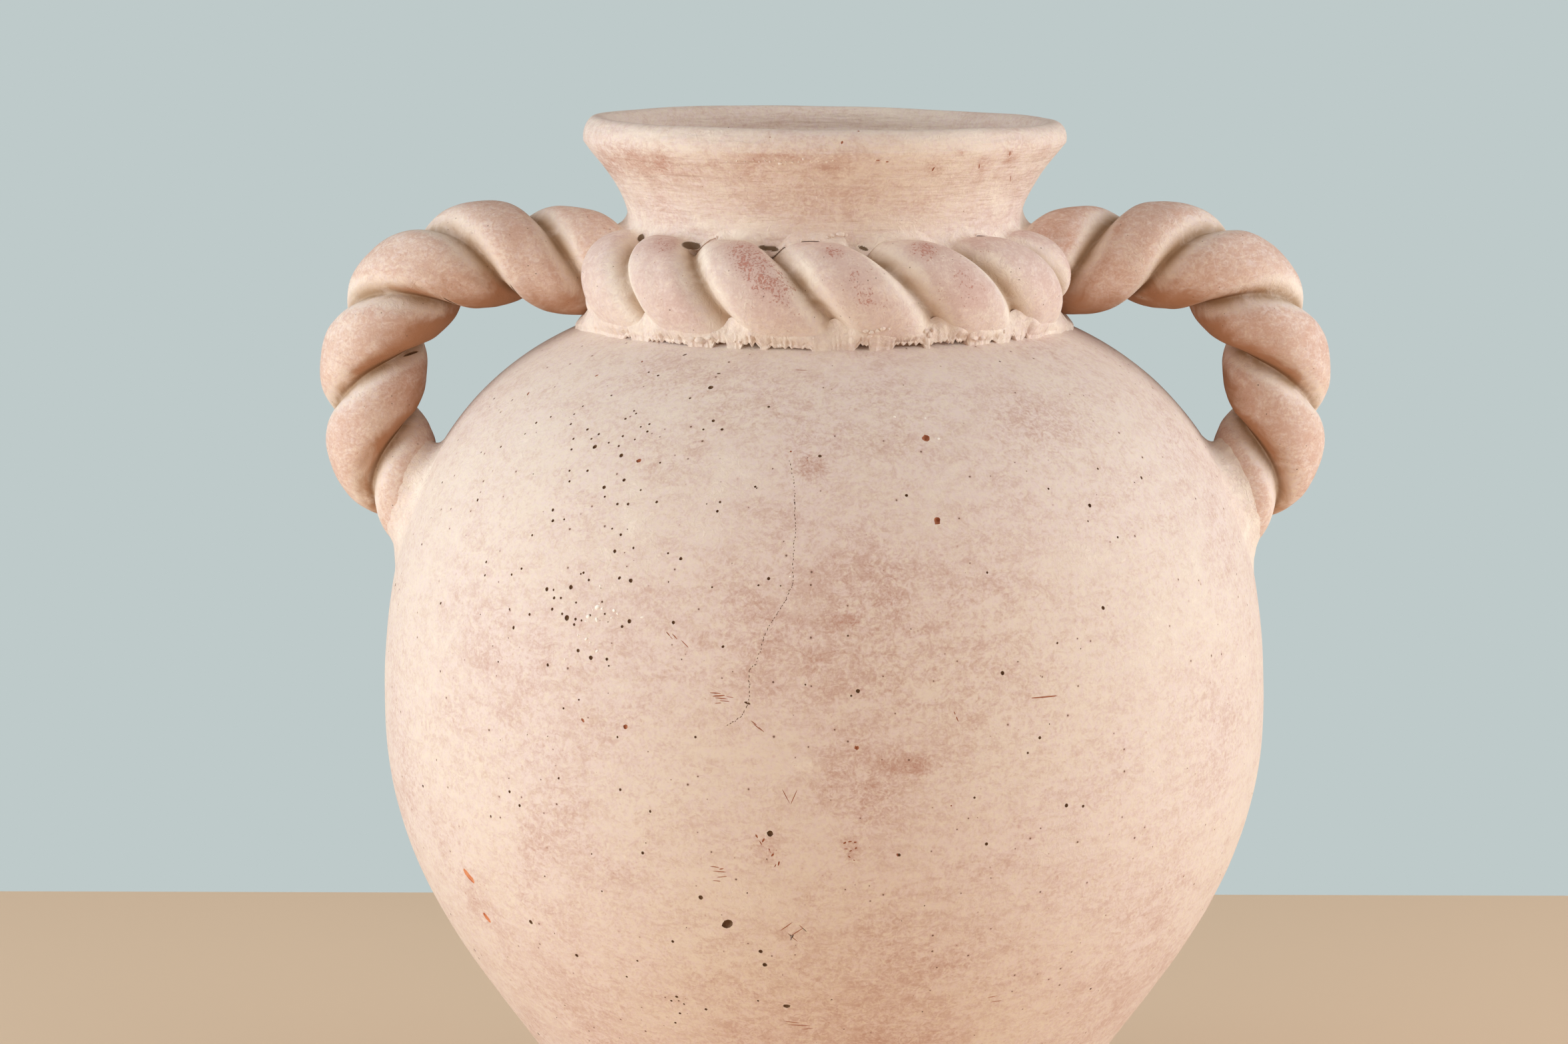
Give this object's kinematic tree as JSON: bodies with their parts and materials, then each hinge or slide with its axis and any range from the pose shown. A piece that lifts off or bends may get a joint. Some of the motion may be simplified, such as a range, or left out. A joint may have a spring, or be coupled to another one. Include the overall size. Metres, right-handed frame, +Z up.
{
  "type": "rope-handled urn",
  "caption": "Whitewashed stoneware urn: a hollow ovoid body, a short flared neck with a banded lip, a twisted rope collar and a twisted rope handle on each side.",
  "frame": {"origin": "middle of the underside that the urn rests on", "axes": "+Z up, -Y the front, +X towards the right handle"},
  "size_m": [0.3788, 0.332, 0.418],
  "materials": {
    "body_slip": "matt chalky cream-pink slip over red clay, mottled and pitted",
    "neck_slip": "matt chalky cream-pink slip over red clay",
    "collar_slip": "matt slip worn to mauve and red clay on the crests",
    "handle_slip": "matt cream-pink slip with mauve wash"
  },
  "bodies": {
    "root": {"body_shell": "body_slip", "neck_and_rim": "neck_slip", "collar_front_strand_a": "collar_slip", "collar_front_strand_b": "collar_slip", "collar_back_strand_a": "collar_slip", "collar_back_strand_b": "collar_slip", "handle_left_strand_a": "handle_slip", "handle_left_strand_b": "handle_slip", "handle_right_strand_a": "handle_slip", "handle_right_strand_b": "handle_slip", "handle_left_root": "handle_slip", "handle_right_root": "handle_slip"}
  },
  "joints": []
}
